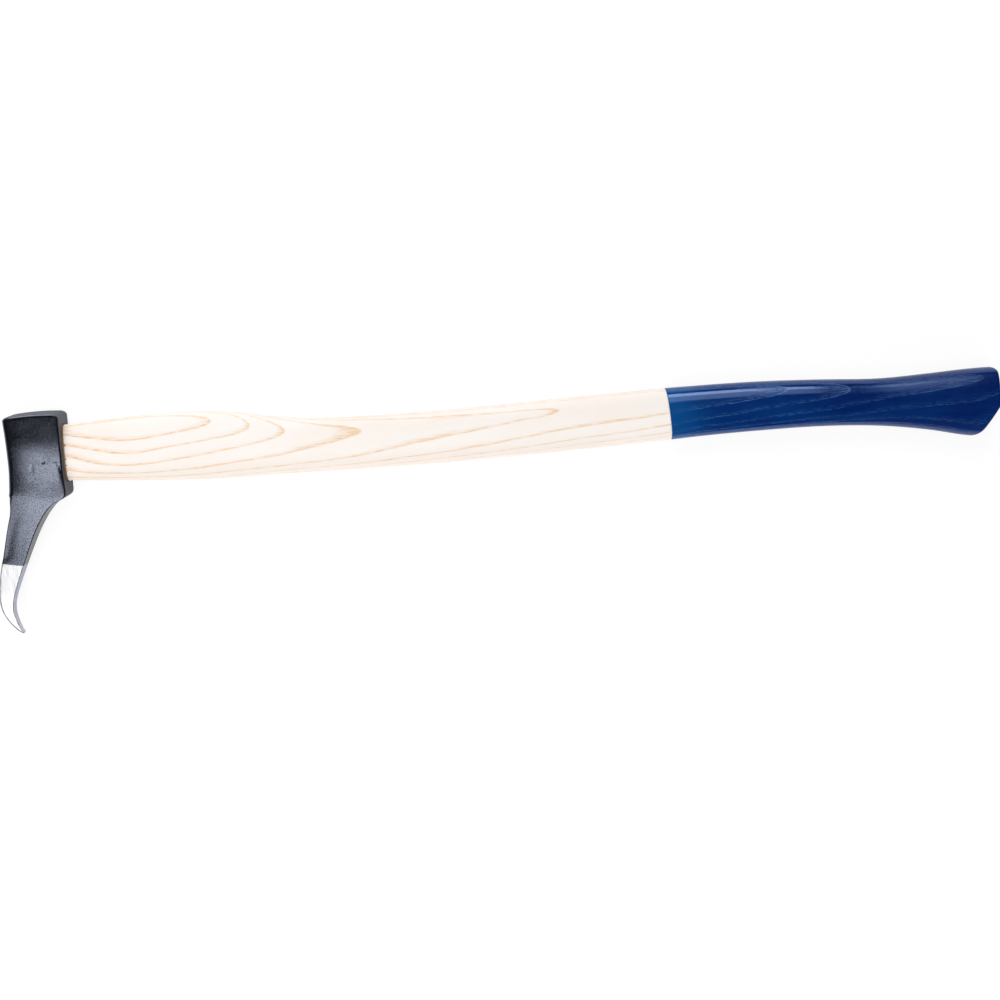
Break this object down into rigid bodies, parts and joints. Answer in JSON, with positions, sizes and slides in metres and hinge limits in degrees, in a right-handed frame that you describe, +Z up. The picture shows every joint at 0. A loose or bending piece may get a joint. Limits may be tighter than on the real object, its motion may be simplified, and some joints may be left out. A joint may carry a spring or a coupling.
{
  "type": "pickaroon",
  "caption": "Short forester's pickaroon: forged steel head with a curved hooked pick, wedged on a long shaped ash handle with a lacquer-dipped grip.",
  "frame": {"origin": "on the resting lower cheek of the head, straight under the middle of the eye", "axes": "the tool lies flat: +X along the handle from the eye to the butt, -Y the way the pick points, +Z up through the head's thickness"},
  "size_m": [0.7157, 0.158, 0.028],
  "materials": {
    "forged_steel": "blue-black stoved coating, satin, with a bright ground pick",
    "ash_wood": "sanded pale ash, clear-waxed, satin",
    "blue_lacquer": "dipped dark blue lacquer, glossy, with the grain showing through",
    "wedge_wood": "sawn hardwood end grain, matt",
    "bright_steel": "bright zinc-plated steel, satin"
  },
  "bodies": {
    "root": {"pick_head": "forged_steel", "handle": "ash_wood", "lacquer_dip": "blue_lacquer", "wooden_wedge": "wedge_wood", "ring_wedge": "bright_steel"}
  },
  "joints": []
}
